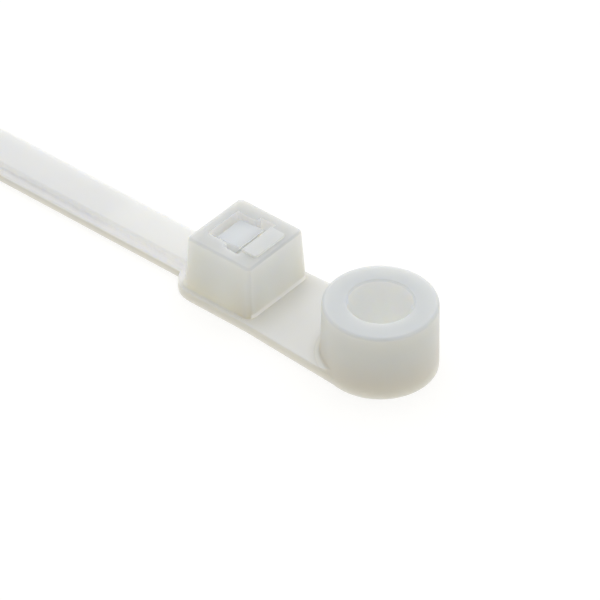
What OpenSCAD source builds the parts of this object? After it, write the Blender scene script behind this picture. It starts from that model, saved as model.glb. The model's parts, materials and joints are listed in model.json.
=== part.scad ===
// Screw mount cable tie, moulded in one piece.
// A boss with a screw hole and a ratchet head stand on one thin base plate, and a
// toothed strap leaves the head along +X. Lengths are in millimetres and angles in
// degrees. The origin is on the axis of the screw hole, at the underside.

/* [Screw boss] */
// Radius of the screw hole
hole_r = 2.1; // [1.6:0.05:2.6]
// Chamfer round the hole's upper mouth
hole_chamfer = 0.12; // [0.05:0.01:0.3]
// Radius of the boss at its foot
boss_r = 3.79; // [3.4:0.01:4.8]
// Height of the boss above the underside
boss_h = 4.9; // [3.6:0.1:7]
// Draft of the boss's wall
boss_draft = 0.75; // [0.25:0.05:3]
// Round on the boss's upper rim
boss_round = 0.3; // [0.1:0.01:0.5]
// Fillet between the boss and the base plate
boss_fillet = 0.65; // [0.2:0.01:0.8]

/* [Base plate] */
// Thickness of the base plate
plate_t = 0.7; // [0.45:0.05:0.9]
// Free length of the plate between the boss and the head
tab_l = 4.66; // [2:0.01:8]
// Width of the plate's ledge beside the head
ledge_w = 0.5; // [0.2:0.01:1]
// How far the plate runs on under the strap, behind the head
apron_l = 1.3; // [0.6:0.05:2]
// Radius of the plate's corners at the strap end
apron_r = 2.1; // [0.8:0.05:2.4]

/* [Head] */
// Height of the head above the underside
head_h = 4.6; // [4:0.1:6]
// Draft of the head's outer walls
head_draft = 2.7; // [1:0.1:5]
// Thickness of the front wall that backs the strap, at its foot
anvil_t = 1.75; // [1.6:0.05:2.6]
// Thickness of the head's wall on the strap side, at its foot
back_wall_t = 0.9; // [0.7:0.05:1.6]
// Thickness of the walls beside the slot, at their foot
cheek_t = 0.9; // [0.7:0.05:1.6]
// Round on the head's upper edges
head_round = 0.24; // [0.1:0.01:0.4]
// Radius of the head's upright corners, at their foot
head_corner_r = 0.6; // [0.5:0.05:1.2]
// Fillet between the head's front wall and the base plate
front_fillet = 0.15; // [0.05:0.01:0.4]
// Fillet between the head's other walls and the base plate
head_fillet = 0.65; // [0.2:0.01:0.8]
// Height of the raised pad beside the slot's mouth
pad_h = 0.13; // [0.05:0.01:0.3]
// Length of the pad along the strap's direction
pad_l = 1.2; // [0.6:0.05:1.2]
// Width of the pad across the head
pad_w = 3; // [1.6:0.05:3.4]
// Radius of the pad's front corners
pad_r = 0.25; // [0.1:0.05:0.5]

/* [Ratchet] */
// Play of the strap's thickness in the slot
slot_play_t = 0.12; // [0.05:0.01:0.3]
// Play of the strap's width in the slot
slot_play_w = 0.1; // [0.05:0.01:0.4]
// Lead-in chamfer at the slot's lower mouth
slot_lead = 0.3; // [0.1:0.05:0.5]
// Length of the pocket behind the slot that the pawl bends into
pocket_l = 1.6; // [1.3:0.05:2.2]
// Height of the pocket's floor above the underside
pocket_floor = 0.9; // [0.6:0.05:1.2]
// Gap beside the pawl
pawl_gap = 0.32; // [0.15:0.01:0.4]
// Play of the pawl's width in the rack
pawl_play = 0.16; // [0.05:0.01:0.4]
// Thickness of the pawl at its root
pawl_root_t = 0.7; // [0.5:0.05:0.9]
// Gap behind the pawl's root
root_gap = 0.3; // [0.1:0.05:0.4]
// Length of the pawl's top face
pawl_top_l = 1.95; // [0.9:0.05:2]
// Height that the pawl's top face falls from tip to back
pawl_top_fall = 0.12; // [0:0.01:0.3]
// Depth of the pawl's tip below the head's top
pawl_drop = 0.35; // [0.1:0.05:0.6]
// Gap between the pawl's tip and the front wall
tip_gap = 0.42; // [0.2:0.01:0.8]
// Depth of the pawl's teeth
pawl_tooth_h = 0.34; // [0.2:0.01:0.4]

/* [Strap] */
// Width of the strap
strap_w = 3.7; // [3:0.1:4.8]
// Thickness of the strap at its raised middle
strap_t = 1.13; // [1.05:0.01:1.6]
// Thickness of the side rails
rail_t = 0.7; // [0.45:0.05:0.8]
// Round on the side rails' outer edges
rail_round = 0.1; // [0.04:0.01:0.2]
// Width of the raised middle along its top
ridge_w = 2.65; // [1.8:0.05:2.8]
// Draft of the raised middle's sides
ridge_draft = 8; // [2:0.5:20]
// Round on the raised middle's edges
ridge_round = 0.12; // [0.05:0.01:0.2]
// Length of the strap from the head to its tip
strap_l = 142.2; // [80:0.1:300]
// Fillet between the strap's top and the head
root_fillet = 0.4; // [0.2:0.05:0.6]

/* [Rack] */
// Pitch of the teeth
tooth_pitch = 0.95; // [0.8:0.05:1.2]
// Depth of the teeth
tooth_h = 0.4; // [0.25:0.01:0.5]
// Flat on each tooth's crest
tooth_flat = 0.12; // [0.05:0.01:0.2]
// Slant of each tooth's locking flank
tooth_slant = 0.08; // [0.02:0.01:0.15]
// Width of the rack between the side rails
rack_w = 2.5; // [1.8:0.05:2.6]
// Depth of the crests above the underside of the rails
rack_sunk = 0.05; // [0.02:0.01:0.1]
// Plain length of strap between the head and the first tooth
rack_lead = 8; // [4:0.5:20]
// Plain length between the last tooth and the tail
rack_end = 1.5; // [0.5:0.5:6]

/* [Tail] */
// Length of the tail
tail_l = 17; // [10:0.5:30]
// Width of the tail at its tip
tail_w = 2; // [1.6:0.1:2.4]
// Thickness of the tail
tail_t = 0.9; // [0.85:0.05:1]
// Length of the ramp from the strap down to the tail's thickness
ramp_l = 1.6; // [0.5:0.1:3]
// Pitch of the grip ribs
rib_pitch = 1.4; // [1:0.1:2]
// Height of the grip ribs
rib_h = 0.15; // [0.05:0.01:0.2]
// Plain length between the last grip rib and the tip
rib_end = 2.4; // [1.5:0.1:4]

/* [Hidden] */
$fn = 96;
nylon = [0.93, 0.93, 0.9];
// Overlap of solids that are joined, and of cuts past the face they open
bite = 0.3;
// Depth that a fillet's ends are set into the faces it joins
fillet_seat = 0.03;
// Height that the head's corner posts stand proud of its flat walls
corner_proud = 0.01;

slot_t = strap_t + slot_play_t;
slot_w = strap_w + slot_play_w;
pawl_w = rack_w - pawl_play;
pocket_w = pawl_w + 2 * pawl_gap;

head_front = boss_r + tab_l;
slot_front = head_front + anvil_t;
slot_back = slot_front + slot_t;
pocket_back = slot_back + pocket_l;
head_back = pocket_back + back_wall_t;
head_w = slot_w + 2 * cheek_t;
// Middle of the head, and half the length of its straight walls along X and Y
head_x = (head_front + head_back) / 2;
head_flat = [(head_back - head_front) / 2 - head_corner_r, head_w / 2 - head_corner_r];

plate_w = head_w + 2 * ledge_w;
plate_end = head_back + apron_l;
strap_start = head_back - back_wall_t / 2;
strap_tip = head_back + strap_l;
tail_start = strap_tip - tail_l;

// Front corner of the plate beside the head, and the point where the plate's
// straight edge from there touches the boss's circle
corner = [head_front, plate_w / 2];
touch_angle = atan2(corner.y, corner.x) + acos(boss_r / norm(corner));
touch = boss_r * [cos(touch_angle), sin(touch_angle)];

function flip(p) = [p.x, -p.y];

// Fillet section: the wall's foot is at the origin, outward is +X, up is +Y
module fillet_profile(r, draft) {
  toe = r / cos(draft) - r * tan(draft);
  wall = [toe - r * cos(draft), r - r * sin(draft)];
  translate([-fillet_seat, -fillet_seat])
    difference() {
      polygon([[-bite, -bite], [toe, -bite], [toe, 0], wall, [-bite, wall.y]]);
      translate([toe, r])
        circle(r);
    }
}

// Upright section from x0 to x1 at the plate's top, with drafted sides and round upper edges
module drafted_profile(x0, x1, h, draft, r) {
  centre_z = h - r;
  inset = (centre_z - plate_t) * tan(draft) + r / cos(draft);
  wall_z = centre_z + r * sin(draft);
  out = r * cos(draft);
  c0 = x0 + inset;
  c1 = x1 - inset;
  polygon([
    [x0, 0], [x1, 0], [x1, plate_t], [c1 + out, wall_z], [c1, h],
    [c0, h], [c0 - out, wall_z], [x0, plate_t]
  ]);
  for (c = [c0, c1])
    translate([c, centre_z])
      circle(r);
}

// Section in the X-Z plane, drawn across Y
module across(w) {
  rotate([90, 0, 0])
    linear_extrude(w, center = true)
      children();
}

// Section in the Y-Z plane, drawn along +X from x0
module along(x0, l) {
  translate([x0, 0, 0])
    rotate([90, 0, 90])
      linear_extrude(l)
        children();
}

module tab_outline() {
  polygon([touch, corner, flip(corner), flip(touch)]);
}

module plate_outline() {
  circle(boss_r);
  tab_outline();
  translate([head_front, -plate_w / 2])
    square([plate_end - apron_r - head_front, plate_w]);
  translate([head_front, apron_r - plate_w / 2])
    square([plate_end - head_front, plate_w - 2 * apron_r]);
  for (side = [-1, 1])
    translate([plate_end - apron_r, side * (plate_w / 2 - apron_r)])
      circle(apron_r);
}

module plate() {
  linear_extrude(plate_t)
    plate_outline();
}

// Round post: one half of a drafted section, turned about the origin
module post(r, h, draft, edge_r) {
  rotate_extrude()
    intersection() {
      drafted_profile(-r, r, h, draft, edge_r);
      square([r, h]);
    }
}

module boss() {
  post(boss_r, boss_h, boss_draft, boss_round);
  intersection() {
    rotate_extrude()
      translate([boss_r, plate_t])
        fillet_profile(boss_fillet, boss_draft);
    linear_extrude(plate_t + boss_fillet)
      tab_outline();
  }
}

module screw_hole() {
  translate([0, 0, -bite])
    cylinder(r = hole_r, h = boss_h + 2 * bite);
  translate([0, 0, boss_h - hole_chamfer])
    cylinder(r1 = hole_r, r2 = hole_r + hole_chamfer + bite, h = hole_chamfer + bite);
}

// Head with drafted walls: two crossing blocks with a post at each upright corner
module head_block() {
  across(2 * head_flat.y)
    drafted_profile(head_front, head_back, head_h, head_draft, head_round);
  along(head_x - head_flat.x, 2 * head_flat.x)
    drafted_profile(-head_w / 2, head_w / 2, head_h, head_draft, head_round);
  translate([head_x, 0, 0])
    for (turn = [0:3])
      rotate(90 * turn)
        translate([head_flat[turn % 2], head_flat[1 - turn % 2], 0])
          post(head_corner_r + corner_proud, head_h, head_draft, head_round);
}

// Fillets round the head's foot. A small one follows the front wall and its corners. A
// wide one follows the back, its corners and the sides, and runs out round at their front.
module head_foot() {
  r = head_corner_r;
  side_start = head_front + r + head_fillet;
  side_end = head_x + head_flat.x;
  intersection() {
    for (side = [0, 1])
      mirror([0, side, 0]) {
        along(head_front + r, head_fillet)
          translate([head_w / 2, plate_t])
            fillet_profile(front_fillet, head_draft);
        along(side_start, side_end - side_start)
          translate([head_w / 2, plate_t])
            fillet_profile(head_fillet, head_draft);
        translate([head_front + r, head_flat.y, plate_t])
          rotate(90)
            rotate_extrude(angle = 90)
              translate([r, 0])
                fillet_profile(front_fillet, head_draft);
        translate([side_end, head_flat.y, plate_t])
          rotate_extrude(angle = 90)
            translate([r, 0])
              fillet_profile(head_fillet, head_draft);
        translate([side_start, head_w / 2, plate_t])
          rotate_extrude()
            intersection() {
              fillet_profile(head_fillet, head_draft);
              translate([0, -bite])
                square(head_fillet + bite);
            }
      }
    linear_extrude(plate_t + head_fillet)
      plate_outline();
  }
  translate([head_front, 0, plate_t])
    rotate(180)
      across(2 * head_flat.y)
        fillet_profile(front_fillet, head_draft);
  translate([head_back, 0, plate_t])
    across(2 * head_flat.y)
      fillet_profile(head_fillet, head_draft);
}

// Raised pad on the front wall, with its back edge flush with the slot's wall
module pad() {
  translate([slot_front - pad_l, 0, head_h - bite])
    linear_extrude(bite + pad_h) {
      translate([pad_r, -pad_w / 2])
        square([pad_l - pad_r, pad_w]);
      translate([0, pad_r - pad_w / 2])
        square([pad_l, pad_w - 2 * pad_r]);
      for (side = [-1, 1])
        translate([pad_r, side * (pad_w / 2 - pad_r)])
          circle(pad_r);
    }
}

// Way for the strap through the head, and the pocket behind it
module slot() {
  top = head_h + pad_h + bite;
  translate([slot_front, -slot_w / 2, -bite])
    cube([slot_t, slot_w, top + bite]);
  translate([slot_back - bite, -pocket_w / 2, pocket_floor])
    cube([pocket_l + bite, pocket_w, top - pocket_floor]);
  across(slot_w)
    polygon([
      [slot_front - slot_lead, -bite], [slot_back + slot_lead, -bite], [slot_back + slot_lead, 0],
      [slot_back, slot_lead], [slot_front, slot_lead], [slot_front - slot_lead, 0]
    ]);
}

// Sprung pawl: it stands on the pocket's floor, leans into the slot and bears
// teeth that are flat on top, so that the strap can pass upward only
module pawl() {
  tip = [slot_front + tip_gap, head_h - pawl_drop];
  root_back = pocket_back - root_gap;
  root_front = root_back - pawl_root_t;
  lean = (root_front - tip.x - pawl_tooth_h) / (tip.y - pocket_floor);
  teeth = floor((tip.y - pocket_floor) / tooth_pitch);
  function face_x(z) = root_front - lean * (z - pocket_floor);
  across(pawl_w)
    polygon(concat(
      [
        [root_front, pocket_floor - bite], [root_back, pocket_floor - bite], [root_back, pocket_floor],
        [tip.x + pawl_top_l, tip.y - pawl_top_fall]
      ],
      [
        for (i = [0:teeth - 1])
          let (z = tip.y - i * tooth_pitch, crest = face_x(z) - pawl_tooth_h)
            each [[crest, z], [crest, z - tooth_flat], [face_x(z - tooth_pitch), z - tooth_pitch]]
      ],
      [[root_front, pocket_floor]]
    ));
}

// Cross-section of the strap: side rails, and the raised middle over the rack
module strap_section() {
  r = ridge_round;
  centre = [ridge_w / 2 - r * tan((90 - ridge_draft) / 2), strap_t - r];
  edge = centre + r * [cos(ridge_draft), sin(ridge_draft)];
  foot_y = edge.x + (edge.y - rail_t) * tan(ridge_draft);
  rail_centre = [strap_w / 2 - rail_round, rail_t - rail_round];
  translate([-strap_w / 2, 0])
    square([strap_w, rail_centre.y]);
  translate([-rail_centre.x, 0])
    square([2 * rail_centre.x, rail_t]);
  polygon([
    [-foot_y, 0], [foot_y, 0], [foot_y, rail_t], edge, [centre.x, strap_t],
    [-centre.x, strap_t], [-edge.x, edge.y], [-foot_y, rail_t]
  ]);
  for (side = [-1, 1]) {
    translate([side * centre.x, centre.y])
      circle(r);
    translate([side * rail_centre.x, rail_centre.y])
      circle(rail_round);
  }
}

// Side view of the strap, with the tail's ramp and its grip ribs
module strap_side() {
  rib_start = tail_start + ramp_l + rib_pitch;
  ribs = floor((strap_tip - rib_end - rib_start) / rib_pitch);
  polygon(concat(
    [[strap_start, 0], [strap_tip, 0], [strap_tip, tail_t]],
    [
      for (i = [ribs - 1:-1:0])
        let (x = rib_start + i * rib_pitch)
          each [[x + rib_pitch / 2, tail_t], [x + rib_pitch / 4, tail_t + rib_h], [x, tail_t]]
    ],
    [[tail_start + ramp_l, tail_t], [tail_start, strap_t], [strap_start, strap_t]]
  ));
}

// Plan of the strap, with the tail's taper and its round tip
module strap_plan() {
  tip_r = tail_w / 2;
  translate([strap_start, -strap_w / 2])
    square([tail_start - strap_start, strap_w]);
  polygon([
    [tail_start, strap_w / 2], [strap_tip - tip_r, tip_r],
    [strap_tip - tip_r, -tip_r], [tail_start, -strap_w / 2]
  ]);
  translate([strap_tip - tip_r, 0])
    circle(tip_r);
}

// Ratchet teeth: each has a gentle slope towards the tip and a steep locking flank
module rack_cut() {
  first = head_back + rack_lead;
  teeth = floor((tail_start - rack_end - first) / tooth_pitch);
  last = first + teeth * tooth_pitch;
  across(rack_w)
    polygon(concat(
      [[first, -bite]],
      [
        for (i = [0:teeth - 1])
          let (x = first + i * tooth_pitch)
            each [
              [x, rack_sunk], [x + tooth_flat, rack_sunk],
              [x + tooth_pitch - tooth_slant, rack_sunk + tooth_h]
            ]
      ],
      [[last, rack_sunk], [last, -bite]]
    ));
}

module strap() {
  difference() {
    intersection() {
      along(strap_start, strap_tip - strap_start)
        strap_section();
      across(strap_w + bite)
        strap_side();
      linear_extrude(strap_t + bite)
        strap_plan();
    }
    rack_cut();
  }
  translate([head_back - (strap_t - plate_t) * tan(head_draft), 0, strap_t])
    across(ridge_w - 2 * ridge_round)
      fillet_profile(root_fillet, head_draft);
}

module screw_mount_tie() {
  color(nylon) {
    difference() {
      union() {
        plate();
        boss();
        head_block();
        head_foot();
        pad();
        strap();
      }
      screw_hole();
      slot();
    }
    pawl();
  }
}

screw_mount_tie();
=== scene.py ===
import json
from math import acos, atan2, cos, floor, radians, sin, tan

import bmesh
import bpy
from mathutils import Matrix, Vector


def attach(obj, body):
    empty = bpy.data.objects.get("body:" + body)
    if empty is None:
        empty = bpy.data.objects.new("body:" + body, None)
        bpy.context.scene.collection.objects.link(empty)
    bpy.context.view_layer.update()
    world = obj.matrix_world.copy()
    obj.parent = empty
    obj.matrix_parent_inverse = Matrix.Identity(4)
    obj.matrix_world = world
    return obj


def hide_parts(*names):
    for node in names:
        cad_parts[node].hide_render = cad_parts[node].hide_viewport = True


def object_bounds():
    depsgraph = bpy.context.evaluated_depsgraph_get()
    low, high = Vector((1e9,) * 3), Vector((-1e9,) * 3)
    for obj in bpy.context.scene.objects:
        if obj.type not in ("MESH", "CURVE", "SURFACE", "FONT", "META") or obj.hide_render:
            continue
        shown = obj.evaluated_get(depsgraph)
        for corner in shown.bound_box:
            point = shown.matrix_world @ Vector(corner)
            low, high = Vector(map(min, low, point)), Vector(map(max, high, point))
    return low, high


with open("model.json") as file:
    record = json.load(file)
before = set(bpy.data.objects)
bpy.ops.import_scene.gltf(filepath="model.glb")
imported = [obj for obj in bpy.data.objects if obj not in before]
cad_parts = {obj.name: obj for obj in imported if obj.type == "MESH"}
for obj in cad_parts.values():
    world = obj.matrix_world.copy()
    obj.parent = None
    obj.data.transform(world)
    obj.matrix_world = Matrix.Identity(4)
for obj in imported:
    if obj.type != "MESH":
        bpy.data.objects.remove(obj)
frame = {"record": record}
cad_low, cad_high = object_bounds()


# Screw boss
# A round post with a hole down its middle for the fixing screw, moulded of one piece with
# the rest. It is drafted so that it leaves its mould, and its rim is rounded.
mm = 0.001
upright = radians(90)
mounts = {mount["name"]: mount for mount in frame["record"]["mounts"]}
boss_radius = -cad_low.x
boss_height = mounts["boss_top"]["pos_m"][2]
boss_draft = radians(0.75)
boss_round = 0.3 * mm
boss_round_steps = 8
boss_sides = 160
plate_thickness = 0.7 * mm
merge = 1e-4 * mm


def bend(radius, start, end, count):
    """Steps inward and upward of a wall whose heading turns from one angle to another."""
    turns = [start + (end - start) * i / count for i in range(count + 1)]
    return [
        (radius * abs(sin(b) - sin(a)), radius * abs(cos(b) - cos(a)))
        for a, b in zip(turns, turns[1:])
    ]


def rise(bm, steps):
    """Builds a block on the one face of a bmesh: each step insets the face and lifts it."""
    bm.faces.ensure_lookup_table()
    top = bm.faces[0]
    bm.faces.new([bm.verts.new(v.co) for v in reversed(top.verts)])
    for inward, upward in steps:
        bmesh.ops.inset_region(
            bm, faces=[top], thickness=inward, use_even_offset=True, use_boundary=True
        )
        bmesh.ops.translate(bm, vec=(0, 0, upward), verts=top.verts)
    return bm


def rise_to(height, draft, steps):
    """Adds the drafted wall that leaves room for the last steps below a height."""
    wall = height - sum(up for _, up in steps)
    return [(wall * tan(draft), wall), *steps]


def piece(name, bm):
    """Makes an object of a closed bmesh, with its place in its mesh."""
    bmesh.ops.remove_doubles(bm, verts=bm.verts, dist=merge)
    bmesh.ops.recalc_face_normals(bm, faces=bm.faces)
    mesh = bpy.data.meshes.new(name)
    bm.to_mesh(mesh)
    bm.free()
    made = bpy.data.objects.new(name, mesh)
    bpy.context.scene.collection.objects.link(made)
    return made


def disc(radius, z):
    """A bmesh of one round face that looks up."""
    bm = bmesh.new()
    bmesh.ops.create_circle(bm, cap_ends=True, segments=boss_sides, radius=radius)
    bmesh.ops.translate(bm, vec=(0, 0, z), verts=bm.verts)
    return bm


boss_rim = bend(boss_round, upright - boss_draft, 0, boss_round_steps)
boss_wall = rise_to(boss_height - plate_thickness, boss_draft, boss_rim)
tie = piece("moulded_tie", rise(disc(boss_radius, 0), [(0, plate_thickness), *boss_wall]))


# Base plate
# The thin web that joins the boss to the head and lies flat on the mounting surface.
# Its sides run straight from the boss to the head, and its upper edges are eased.
web_length = 4.66 * mm
head_length = 5.5 * mm
head_width = 5.6 * mm
ledge = 0.5 * mm
apron_length = 1.3 * mm
apron_radius = 2.1 * mm
plate_ease = 0.2 * mm
plate_ease_steps = 4
head_front = boss_radius + web_length
head_back = head_front + head_length
plate_width = head_width + 2 * ledge
plate_end = head_back + apron_length
tuck = 0.99
corner_steps = 12
clear = 2 * mm


def outline(points, rounds=()):
    """A bmesh of one flat face from its corners, some of them rounded."""
    bm = bmesh.new()
    corners = [bm.verts.new(p) for p in points]
    bm.faces.new(corners)
    for radius, which in rounds:
        bmesh.ops.bevel(
            bm, geom=[corners[i] for i in which], offset=radius, offset_type="OFFSET",
            segments=corner_steps, profile=0.5, affect="VERTICES", material=-1,
        )
    return bm


def drawn(bm, way):
    """Draws the one face of a bmesh out to a solid."""
    geometry = bmesh.ops.extrude_face_region(bm, geom=bm.faces[:])["geom"]
    moved = [g for g in geometry if isinstance(g, bmesh.types.BMVert)]
    bmesh.ops.translate(bm, vec=way, verts=moved)
    return bm


def plate_outline(z, shrink=0):
    """The plate seen from above; its narrow end is tucked inside the boss."""
    corner = Vector((head_front, plate_width / 2))
    touch_angle = atan2(corner.y, corner.x) + acos(boss_radius / corner.length)
    touch = boss_radius * tuck * Vector((cos(touch_angle), sin(touch_angle)))
    end = Vector((plate_end - shrink, plate_width / 2))
    side = [(p.x, p.y - shrink) for p in (touch, corner, end)]
    points = [(x, -y, z) for x, y in side] + [(x, y, z) for x, y in reversed(side)]
    return outline(points, [(apron_radius - shrink, (2, 3))])


def combine(whole, other, operation):
    """Joins, cuts or crops one solid with another, which is used up."""
    step = whole.modifiers.new(operation.lower(), "BOOLEAN")
    step.object = other
    step.operation = operation
    step.solver = "MANIFOLD"
    graph = bpy.context.evaluated_depsgraph_get()
    result = bpy.data.meshes.new_from_object(whole.evaluated_get(graph))
    whole.modifiers.clear()
    whole.data = result
    bpy.data.objects.remove(other)
    return whole


plate_rim = bend(plate_ease, upright, 0, plate_ease_steps)
plate = rise(plate_outline(0), rise_to(plate_thickness, 0, plate_rim))
combine(tie, piece("plate", plate), "UNION")


# Foot of the boss
# Where the boss stands on the plate the mould leaves a small fillet. It runs out where
# the plate's straight sides meet the round wall.
boss_fillet = 0.65 * mm
fillet_steps = 8
sunk = 0.3 * mm
seat = 0.03 * mm


def flared(fillet, draft):
    """Steps from inside the plate up through a fillet to a drafted wall."""
    return [(0, sunk - seat), *bend(fillet, 0, upright - draft, fillet_steps)]


def on_plate(solid, shrink):
    """Crops a foot to the plate's outline, or to one inside it."""
    keep = drawn(plate_outline(-clear, shrink), (0, 0, boss_height + 2 * clear))
    return combine(solid, piece("plate_room", keep), "INTERSECT")


foot = rise(disc(boss_radius - seat + boss_fillet, plate_thickness - sunk),
            flared(boss_fillet, boss_draft))
combine(tie, on_plate(piece("boss_foot", foot), seat), "UNION")


# Ratchet head
# A box that the strap's end is pushed through. Its walls are drafted, and its foot flares
# into the plate: sharply at the front, widely elsewhere. A low pad stands beside the slot.
head_height = 4.6 * mm
head_draft = radians(4.2)
head_spread = 0.19 * mm
head_round = 0.24 * mm
head_round_steps = 7
head_corner = 0.6 * mm
front_fillet = 0.15 * mm
skirt_height = 0.65 * mm
skirt_runout = 1.6 * mm
skirt_steps = 10
slot_setback = 1.75 * mm
slot_length = 1.25 * mm
slot_width = 3.8 * mm
slot_front = head_front + slot_setback
slot_back = slot_front + slot_length
pad_height = 0.13 * mm
pad_length = 1.2 * mm
pad_width = 3 * mm
pad_corner = 0.25 * mm
pad_ease = 0.05 * mm
pad_ease_steps = 3


def block(x0, x1, width, z, front=0, back=0):
    """A bmesh of one face that looks up, with its front and back corners rounded."""
    y = width / 2
    points = [(x0, -y, z), (x1, -y, z), (x1, y, z), (x0, y, z)]
    rounds = [(front, (0, 3)), (back, (1, 2))]
    return outline(points, [(radius, which) for radius, which in rounds if radius])


flare = front_fillet - seat + head_spread
foot_corner = head_corner + front_fillet
head_outline = block(head_front - flare, head_back + flare, head_width + 2 * flare,
                     plate_thickness - sunk, foot_corner, foot_corner)
head_foot = flared(front_fillet, head_draft)
head_rim = bend(head_round, upright - head_draft, 0, head_round_steps)
above_foot = head_height - plate_thickness + sunk - sum(up for _, up in head_foot)
head = rise(head_outline, head_foot + rise_to(above_foot, head_draft, head_rim))
combine(tie, on_plate(piece("head", head), plate_ease), "UNION")

edge = plate_width / 2 - plate_ease
reach = edge - head_width / 2 - head_spread + skirt_height * tan(head_draft) + seat
skirt_start = head_front + head_corner
skirt_side = [(skirt_start, edge - reach), (skirt_start + skirt_runout, edge),
              (head_back + head_spread + reach, edge)]
skirt_points = [(x, -y) for x, y in skirt_side] + [(x, y) for x, y in reversed(skirt_side)]
skirt_outline = outline([(x, y, plate_thickness - sunk) for x, y in skirt_points],
                        [(head_corner + reach, (2, 3))])
skirt_flare = [(reach * inward, skirt_height * upward)
               for inward, upward in bend(1, 0, upright - head_draft, skirt_steps)]
skirt = rise(skirt_outline, [(0, sunk), *skirt_flare])
combine(tie, piece("head_skirt", skirt), "UNION")

pad_outline = block(slot_front - pad_length, slot_front + sunk, pad_width,
                    head_height - sunk, front=pad_corner)
pad_rim = bend(pad_ease, upright, 0, pad_ease_steps)
pad = rise(pad_outline, rise_to(sunk + pad_height, 0, pad_rim))
combine(tie, piece("pad", pad), "UNION")


# Strap
# A flat band with a raised middle between two thin side rails. It leaves the head low down
# and ends in a thinner, tapered tail with grip ribs.
strap_width = 3.7 * mm
strap_thickness = 1.13 * mm
strap_overlap = 0.45 * mm
rail_thickness = 0.7 * mm
rail_round = 0.1 * mm
ridge_width = 2.65 * mm
ridge_draft = radians(8)
ridge_round = 0.12 * mm
strap_start = head_back - strap_overlap
strap_tip = cad_high.x
tail_length = 17 * mm
tail_width = 2 * mm
tail_thickness = 0.9 * mm
tail_start = strap_tip - tail_length
tip_fullness = 0.98
ramp_length = 1.6 * mm
rib_pitch = 1.4 * mm
rib_height = 0.15 * mm
rib_end = 2.4 * mm
root_fillet = 0.4 * mm

half = strap_width / 2
ridge_foot = ridge_width / 2 + (strap_thickness - rail_thickness) * tan(ridge_draft)
right_side = [(half, 0), (half, rail_thickness), (ridge_foot, rail_thickness),
              (ridge_width / 2, strap_thickness)]
section = right_side + [(-y, z) for y, z in reversed(right_side)]
strap_outline = outline(
    [(strap_start, y, z) for y, z in section],
    [(rail_round, (1, 6)), (ridge_round, (2, 3, 4, 5))],
)
strap = piece("strap", drawn(strap_outline, (strap_tip + clear - strap_start, 0, 0)))

ramp_slope = (strap_thickness - tail_thickness) / ramp_length
rib_start = tail_start + ramp_length + rib_pitch
ribs = floor((strap_tip - rib_end - rib_start) / rib_pitch)
side_view = [(strap_start - clear, -clear), (strap_tip + 2 * clear, -clear),
             (strap_tip + 2 * clear, tail_thickness)]
for i in reversed(range(ribs)):
    x = rib_start + i * rib_pitch
    side_view += [(x + rib_pitch / 2, tail_thickness),
                  (x + rib_pitch / 4, tail_thickness + rib_height), (x, tail_thickness)]
side_view += [(tail_start + ramp_length, tail_thickness),
              (tail_start - clear / ramp_slope, strap_thickness + clear),
              (strap_start - clear, strap_thickness + clear)]
tail_side = outline([(x, -half - clear, z) for x, z in side_view])
drawn(tail_side, (0, strap_width + 2 * clear, 0))
combine(strap, piece("tail_side", tail_side), "INTERSECT")

taper = (strap_width - tail_width) / 2 / tail_length
tip_radius = tail_width / 2
top_view = [(strap_start - clear, half + clear), (tail_start - clear / taper, half + clear),
            (strap_tip, tip_radius)]
tail_plan = outline(
    [(x, -y, -clear) for x, y in top_view] + [(x, y, -clear) for x, y in reversed(top_view)],
    [(tip_radius * tip_fullness, (2, 3))],
)
drawn(tail_plan, (0, 0, strap_thickness + 2 * clear))
combine(strap, piece("tail_plan", tail_plan), "INTERSECT")

wall_x = head_back - (strap_thickness - plate_thickness) * tan(head_draft)
corner_x, corner_z = wall_x - seat, strap_thickness - seat
root_side = [(corner_x - sunk, corner_z - sunk), (corner_x + root_fillet, corner_z - sunk),
             (corner_x + root_fillet, corner_z), (corner_x, corner_z),
             (corner_x, corner_z + root_fillet), (corner_x - sunk, corner_z + root_fillet)]
inner = ridge_width / 2 - ridge_round
root = outline([(x, -inner, z) for x, z in root_side], [(root_fillet, (3,))])
combine(strap, piece("strap_root", drawn(root, (0, 2 * inner, 0))), "UNION")
combine(tie, strap, "UNION")


# Rack
# Fine teeth moulded across the strap's underside between the rails. Each slopes gently
# towards the tip and has a steep flank that the pawl locks behind.
tooth_pitch = 0.95 * mm
tooth_height = 0.4 * mm
tooth_flat = 0.12 * mm
tooth_slant = 0.08 * mm
rack_width = 2.5 * mm
rack_sunk = 0.05 * mm
rack_start = 8 * mm
rack_end = 1.5 * mm

rack_first = head_back + rack_start
teeth = floor((tail_start - rack_end - rack_first) / tooth_pitch)
comb = [(rack_first, -clear)]
for i in range(teeth):
    x = rack_first + i * tooth_pitch
    comb += [(x, rack_sunk), (x + tooth_flat, rack_sunk),
             (x + tooth_pitch - tooth_slant, rack_sunk + tooth_height)]
rack_last = rack_first + teeth * tooth_pitch
comb += [(rack_last, rack_sunk), (rack_last, -clear)]
gaps = outline([(x, -rack_width / 2, z) for x, z in comb])
combine(tie, piece("rack_gaps", drawn(gaps, (0, rack_width, 0))), "DIFFERENCE")


# Holes
# The screw hole runs straight through the boss with a small chamfer at its mouth. The slot
# runs through the head, with a lead-in below and a pocket behind it for the pawl.
hole_radius = mounts["screw_hole"]["dims"]["r_mm"] * mm
hole_chamfer = 0.12 * mm
slot_lead = 0.3 * mm
pawl_play = 0.16 * mm
pawl_width = rack_width - pawl_play
pocket_gap = 0.32 * mm
pocket_length = 1.6 * mm
pocket_width = pawl_width + 2 * pocket_gap
pocket_back = slot_back + pocket_length
pocket_floor = 0.9 * mm
pocket_corner = 0.12 * mm
over = head_height + clear

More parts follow.
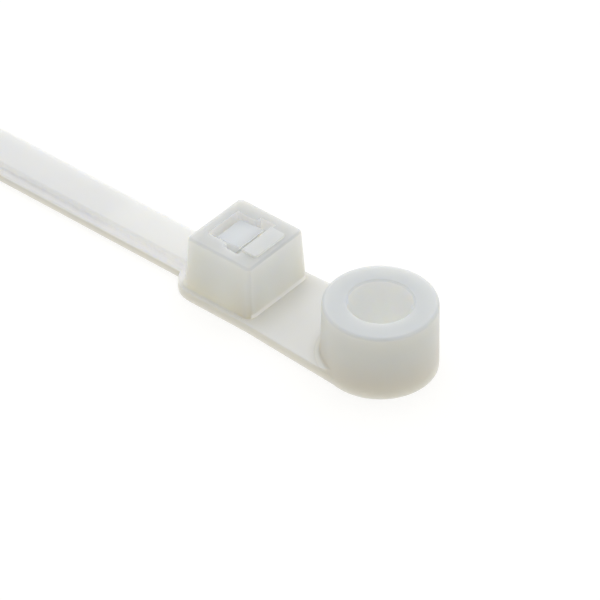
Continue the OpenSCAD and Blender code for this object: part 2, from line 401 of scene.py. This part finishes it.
bm = bmesh.new()
drill = [(0, -clear), (hole_radius, -clear), (hole_radius, boss_height - hole_chamfer),
         (hole_radius + hole_chamfer + clear, boss_height + clear), (0, boss_height + clear)]
line = [bm.verts.new((r, 0, z)) for r, z in drill]
edges = [bm.edges.new(pair) for pair in zip(line, line[1:])]
bmesh.ops.spin(
    bm, geom=line + edges, cent=(0, 0, 0), axis=(0, 0, 1), dvec=(0, 0, 0),
    angle=4 * upright, steps=boss_sides, use_merge=True, use_duplicate=False,
)
combine(tie, piece("drill", bm), "DIFFERENCE")

slot_side = [(slot_front - slot_lead - clear, -clear), (slot_back + slot_lead + clear, -clear),
             (slot_back, slot_lead), (slot_back, over), (slot_front, over),
             (slot_front, slot_lead)]
slot = outline([(x, -slot_width / 2, z) for x, z in slot_side])
combine(tie, piece("slot", drawn(slot, (0, slot_width, 0))), "DIFFERENCE")

pocket = block(slot_back - sunk, pocket_back, pocket_width, pocket_floor, back=pocket_corner)
combine(tie, piece("pocket", drawn(pocket, (0, 0, over - pocket_floor))), "DIFFERENCE")


# Pawl
# The sprung tongue of the ratchet. It stands on the pocket's floor, leans into the slot and
# carries teeth that are flat on top, so that the strap can only be drawn one way.
pawl_root = 0.7 * mm
root_gap = 0.3 * mm
pawl_top = 1.95 * mm
pawl_top_fall = 0.12 * mm
pawl_drop = 0.15 * mm
pawl_tooth = 0.34 * mm
tip_gap = 0.42 * mm

tip_x, tip_z = slot_front + tip_gap, head_height - pawl_drop
root_back = pocket_back - root_gap
root_front = root_back - pawl_root
pawl_lean = (root_front - tip_x - pawl_tooth) / (tip_z - pocket_floor)
tongue = [(root_front, pocket_floor - sunk), (root_back, pocket_floor - sunk),
          (root_back, pocket_floor), (tip_x + pawl_top, tip_z - pawl_top_fall)]
for i in range(floor((tip_z - pocket_floor) / tooth_pitch)):
    z = tip_z - i * tooth_pitch
    face_x = root_front - pawl_lean * (z - pocket_floor)
    crest = face_x - pawl_tooth
    tongue += [(crest, z), (crest, z - tooth_flat),
               (face_x + pawl_lean * tooth_pitch, z - tooth_pitch)]
tongue += [(root_front, pocket_floor)]
pawl = outline([(x, -pawl_width / 2, z) for x, z in tongue])
combine(tie, piece("pawl", drawn(pawl, (0, pawl_width, 0))), "UNION")


# Skin of the moulding
# Satin natural nylon, smooth over rounds and crisp at the mould's parting edges. It is undyed
# and lets light through. Light and shade are painted into its colour: a cool painted sheen on
# top, painted shade and warmth low on the walls and in creases, painted light where thin or
# hollow.
crease = radians(32)
skin_merge = 2e-4 * mm
flat_weight = 100

bm = bmesh.new()
bm.from_mesh(tie.data)
bmesh.ops.remove_doubles(bm, verts=bm.verts, dist=skin_merge)
bmesh.ops.dissolve_degenerate(bm, dist=merge, edges=bm.edges)
bmesh.ops.recalc_face_normals(bm, faces=bm.faces)
bm.to_mesh(tie.data)
bm.free()
tie.data.shade_smooth()
tie.data.set_sharp_from_angle(angle=crease)
even = tie.modifiers.new("even_normals", "WEIGHTED_NORMAL")
even.keep_sharp = True
even.weight = flat_weight


class Socket:
    """One output of a material's nodes. Sums and products of these add their Math nodes."""

    def __init__(self, tree, output=None):
        self.tree = tree
        self.output = output

    def node(self, kind, settings, inputs, output=0):
        """Adds a node: its settings first, then the values or links of its inputs."""
        made = self.tree.nodes.new("ShaderNode" + kind)
        for name, value in settings.items():
            setattr(made, name, value)
        for name, value in inputs.items():
            if isinstance(value, Socket):
                self.tree.links.new(value.output, made.inputs[name])
            else:
                made.inputs[name].default_value = value
        return Socket(self.tree, made.outputs[output] if made.outputs else None)

    def math(self, operation, a, b):
        """Adds a Math node on two values or links."""
        return self.node("Math", {"operation": operation}, {0: a, 1: b})

    def __add__(self, other):
        return self.math("ADD", self, other)

    def __sub__(self, other):
        return self.math("SUBTRACT", self, other)

    def __rsub__(self, other):
        return self.math("SUBTRACT", other, self)

    def __mul__(self, other):
        return self.math("MULTIPLY", self, other)

    __radd__ = __add__
    __rmul__ = __mul__


def material(name):
    """A new material with an empty node tree, and a socket to build on it from."""
    made = bpy.data.materials.new(name)
    made.use_nodes = True
    made.node_tree.nodes.clear()
    return made, Socket(made.node_tree)


def part_of(vector, axis):
    """One coordinate of a vector."""
    return vector.node("SeparateXYZ", {}, {0: vector}, axis)


def blend(factor, a, b):
    """Mixes two colours."""
    return factor.node("Mix", {"data_type": "RGBA"}, {"Factor": factor, "A": a, "B": b}, "Result")


def fade(value, low, high):
    """Runs smoothly from 0 at one value to 1 at another."""
    steps = {"Value": value, "From Min": low, "From Max": high}
    return value.node("MapRange", {"interpolation_type": "SMOOTHSTEP"}, steps)


def band(value, start, full, last, end):
    """Rises smoothly from 0 to 1, stays there and falls back to 0."""
    return fade(value, start, full) * fade(value, end, last)


nylon, moulding = material("natural_nylon")
place = moulding.node("TexCoord", {}, {}, "Object")
facing = moulding.node("TexCoord", {}, {}, "Normal")
flat_place = moulding.node("VectorMath", {"operation": "MULTIPLY"}, {0: place, 1: (1, 1, 0)})
from_axis = moulding.node("VectorMath", {"operation": "LENGTH"}, {0: flat_place}, "Value")
across = moulding.node("Math", {"operation": "ABSOLUTE"}, {0: part_of(place, "Y")})
along = part_of(place, "X")
height = part_of(place, "Z")
upward = part_of(facing, "Z")

# Where the painted light and shade lie. They have soft edges, because light spreads inside the
# nylon.
soft = 0.1 * mm
hair = 0.02 * mm
level_slopes = (0.4, 0.9)
front_slopes = (-0.75, -0.97)
rim_slopes = (0.2, 0.5, 0.85, 0.98)
rim_heights = (1.5 * mm, 2 * mm)
rim_from_hole = (0.3 * mm, 0.5 * mm)
wall_heights = (3.6 * mm, 0.6 * mm)
plate_heights = (0.9 * mm, 0.4 * mm)
web_heights = (1.6 * mm, 1.3 * mm)
web_to_head = (-2.2 * mm, -0.3 * mm)
web_to_boss = (0.9 * mm, 0.2 * mm)
boss_edge = (0.1 * mm, 0.5 * mm)
corner_reach = (2.0 * mm, 0.2 * mm)
front_relief = 0.55
mouth_heights = (0.02 * mm, -0.03 * mm)
pawl_heights = (-0.1 * mm, -0.2 * mm)
strap_heights = (0.4 * mm, 0.65 * mm)
strap_fade = 0.8 * mm
line_heights = (0.71 * mm, 0.75 * mm, 0.9 * mm, 1.1 * mm)
front_line = (-0.45 * mm, -0.35 * mm, -0.1 * mm, 0)
boss_line = (0.08 * mm, 0.16 * mm, 0.3 * mm, 0.4 * mm)
boss_line_share = 0.25
rim_share = 0.35


def beyond(base, steps):
    """Places at some steps from a base size."""
    return [base + step for step in steps]


level = fade(upward, *level_slopes)
frontal = fade(part_of(facing, "X"), *front_slopes)
off_boss = fade(from_axis, *beyond(boss_radius, boss_edge))
low_down = fade(height, *wall_heights)
in_hole = fade(from_axis, hole_radius + soft, hole_radius + hair)
in_slot = (band(along, slot_front - soft, slot_front, pocket_back, pocket_back + soft)
           * fade(across, slot_width / 2 + soft, slot_width / 2)
           * fade(height, *beyond(head_height, mouth_heights)))
at_corner = (fade(along, *beyond(head_front, corner_reach))
             * fade(across, *[head_width / 2 - step for step in corner_reach]))
on_pad = off_boss * fade(height, head_height, head_height + pad_height)
on_pawl = level * in_slot * fade(height, *beyond(head_height, pawl_heights))
on_web = level * fade(height, *web_heights)
# How far the painted shadow on the web reaches from the head and from the boss.
head_shadow_reach = fade(along, *beyond(head_front, web_to_head))
boss_shadow_reach = fade(from_axis, *beyond(boss_radius, web_to_boss))
on_strap = fade(along, head_back, head_back + strap_fade) * fade(height, *strap_heights)
on_ridge = fade(height, rail_thickness, strap_thickness)
# Rounded rims high up, where painted shade goes.
on_rim = (band(upward, *rim_slopes) * fade(height, *rim_heights)
          * fade(from_axis, *beyond(hole_radius, rim_from_hole)))
# Where a thin painted highlight runs along the feet of the head and the boss.
foot_highlight_mask = (band(along, *beyond(head_front, front_line))
                + boss_line_share * band(from_axis, *beyond(boss_radius, boss_line)))
foot_highlight_mask = foot_highlight_mask * band(height, *line_heights)

# The nylon's colours with light and shade painted in; the walls have one for high up and one for
# low down.
# The walls are painted warmer low down, and the boss's also darker: painted shade, and warm light
# through the nylon near the sheet.
boss_walls = blend(low_down, (0.64, 0.65, 0.63, 1), (0.62, 0.605, 0.555, 1))
side_walls = blend(low_down, (0.725, 0.735, 0.705, 1), (0.735, 0.725, 0.65, 1))
# The head's front wall is painted lighter: painted light bounced up from the web in front of it.
front_walls_painted_bounce = blend(low_down, (0.82, 0.83, 0.81, 1), (0.85, 0.85, 0.80, 1))
# The head's front corners are painted darker low down: painted shade, less of it on the front
# face.
corner_walls_painted_shade = blend(low_down, (0.72, 0.73, 0.70, 1), (0.65, 0.63, 0.56, 1))
# Faces that look up are painted cool and bluish: a painted reflection of the bright tent above.
tops_painted_sky = blend(off_boss, (0.64, 0.67, 0.695, 1), (0.63, 0.645, 0.65, 1))
# The strap is painted light, and lighter still on its rails and riser: painted light shining
# through the thin band from below.
strap_painted_light = blend(on_ridge, (0.97, 0.975, 0.95, 1), (0.85, 0.855, 0.84, 1))
# The web's top is painted darker next to the head and the boss: painted shadow and crease shade.
web_painted_shade = blend(head_shadow_reach, (0.725, 0.74, 0.745, 1), (0.65, 0.66, 0.655, 1))
web_painted_shade = blend(boss_shadow_reach, web_painted_shade, (0.66, 0.67, 0.665, 1))
# Side faces low down by the sheet are painted dark and warm: painted contact shade.
plate_side_painted_shade = (0.62, 0.61, 0.56, 1)
# The bore is painted lighter: painted light that comes through its wall.
hole_painted_light = (0.85, 0.865, 0.865, 1)
# The slot and pocket are painted nearly white: painted light in place of light shining up through
# them.
slot_painted_light = (0.96, 0.97, 0.97, 1)
pad_tint = (0.73, 0.745, 0.74, 1)
# The pawl's top is painted lighter: painted light in the shaded window.
pawl_painted_light = (0.81, 0.83, 0.83, 1)
# Rims are painted darker and bluish: painted shade and a dim painted reflection on the rounds.
rim_painted_shade = (0.50, 0.53, 0.56, 1)
# A painted highlight on the small fillets at the feet.
foot_painted_highlight = (0.93, 0.93, 0.91, 1)

head_walls = blend(frontal, side_walls, front_walls_painted_bounce)
head_walls = blend(at_corner * (1 - front_relief * frontal), head_walls, corner_walls_painted_shade)
colour = blend(off_boss, boss_walls, head_walls)
colour = blend(fade(height, *plate_heights), colour, plate_side_painted_shade)
colour = blend(in_hole, colour, hole_painted_light)
colour = blend(in_slot, colour, slot_painted_light)
colour = blend(level, colour, blend(on_pad, tops_painted_sky, pad_tint))
colour = blend(on_pawl, colour, pawl_painted_light)
colour = blend(on_web, colour, web_painted_shade)
colour = blend(on_strap, colour, strap_painted_light)
colour = blend(rim_share * on_rim, colour, rim_painted_shade)
colour = blend(foot_highlight_mask, colour, foot_painted_highlight)

cloud = moulding.node("TexNoise", {}, {"Vector": place, "Scale": 260.0, "Detail": 3.0})
grain = moulding.node("TexNoise", {}, {"Vector": place, "Scale": 9000.0, "Detail": 2.0})
roughness = 0.25 + 0.12 * cloud
eased = moulding.node("Bevel", {"samples": 6}, {"Radius": 0.05 * mm})
satin = moulding.node(
    "Bump", {}, {"Strength": 0.08, "Distance": 0.01 * mm, "Height": grain, "Normal": eased}
)
skin = moulding.node(
    "BsdfPrincipled", {},
    {"Base Color": colour, "Roughness": roughness, "IOR": 1.53, "Normal": satin,
     "Subsurface Weight": 1.0, "Subsurface Radius": (1.0, 0.9, 0.7), "Subsurface Scale": 3 * mm},
)
moulding.node("OutputMaterial", {}, {"Surface": skin})
tie.data.materials.clear()
tie.data.materials.append(nylon)

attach(tie, "root")
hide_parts("screw_mount_tie")


# Table top
# A sheet of white paper that the tie lies on. Light falls on it and shines up through it, so
# that the eye sees it as plain white, and it keeps the tie's contact shadow.
table_size = 3.0
table_gap = 0.01 * mm
paper_tint = (0.95, 0.95, 0.94, 1)
light_through = 0.5
glow_share = 0.33
glow_strength = 1.28

bm = bmesh.new()
bmesh.ops.create_grid(bm, x_segments=1, y_segments=1, size=table_size / 2)
bmesh.ops.translate(bm, vec=(0, 0, -table_gap), verts=bm.verts)
table = piece("table", bm)
paper, sheet = material("white_paper")
seen = (sheet.node("LightPath", {}, {}, "Is Camera Ray")
        + sheet.node("LightPath", {}, {}, "Is Glossy Ray")
        + sheet.node("LightPath", {}, {}, "Is Transmission Ray"))
from_front = sheet.node("BsdfDiffuse", {}, {"Color": paper_tint})
from_back = sheet.node("BsdfTranslucent", {}, {"Color": paper_tint})
lit = sheet.node("MixShader", {}, {0: light_through, 1: from_front, 2: from_back})
glow = sheet.node("Emission", {}, {"Color": (1, 1, 1, 1), "Strength": glow_strength})
surface = sheet.node("MixShader", {}, {0: seen * glow_share, 1: lit, 2: glow})
sheet.node("OutputMaterial", {}, {"Surface": surface})
table.data.materials.append(paper)


# Studio
# A light tent of white cloth with no lamp of its own inside. It is brightest above and
# behind the tie, dimmer on the camera's side, and lit from below the sheet as well.
brightest_way = (0.45, -0.66, 0.6)
dimmest = 0.39
gain = 0.90
from_below = 1.1
cloth_tint = (0.98, 0.985, 0.985, 1)
below_tint = (1.0, 0.985, 0.96, 1)
bounces = 16

tent = bpy.data.worlds.new("tent")
tent.use_nodes = True
tent.node_tree.nodes.clear()
sky = Socket(tent.node_tree)
ray = sky.node("TexCoord", {}, {}, "Generated")
towards = sky.node(
    "VectorMath", {"operation": "DOT_PRODUCT"}, {0: ray, 1: brightest_way}, "Value"
)
turned = 0.5 + 0.5 * towards
below = sky.math("LESS_THAN", part_of(ray, "Z"), 0.0)
brightness = dimmest + gain * turned * turned
brightness = brightness + below * (from_below - brightness)
hue = blend(below, cloth_tint, below_tint)
light = sky.node("Background", {}, {"Color": hue, "Strength": brightness})
sky.node("OutputWorld", {}, {"Surface": light})
bpy.context.scene.world = tent
bpy.context.scene.cycles.max_bounces = bounces
bpy.context.scene.cycles.diffuse_bounces = bounces
bpy.context.scene.cycles.transmission_bounces = bounces


# Camera
# A long lens that looks down across the boss to the head, with the strap running away.
# It stands on the boss's side of the tie, about a foot away from it.
view_azimuth = radians(219.82)
view_elevation = radians(39.67)
view_distance = 330 * mm
view_centre = Vector((5.466, 1.358, 2.964)) * mm
image_pixels = 600
focal_pixels = 5190.3

back = Vector((
    sin(view_azimuth) * cos(view_elevation),
    -cos(view_azimuth) * cos(view_elevation),
    sin(view_elevation),
))
lens = bpy.data.cameras.new("camera")
lens.sensor_width = 36
lens.lens = lens.sensor_width * focal_pixels / image_pixels
lens.clip_start = 1 * mm
camera = bpy.data.objects.new("camera", lens)
camera.location = view_centre + view_distance * back
camera.rotation_euler = back.to_track_quat("Z", "Y").to_euler()
bpy.context.scene.collection.objects.link(camera)
bpy.context.scene.camera = camera
bpy.context.scene.view_settings.view_transform = "Standard"
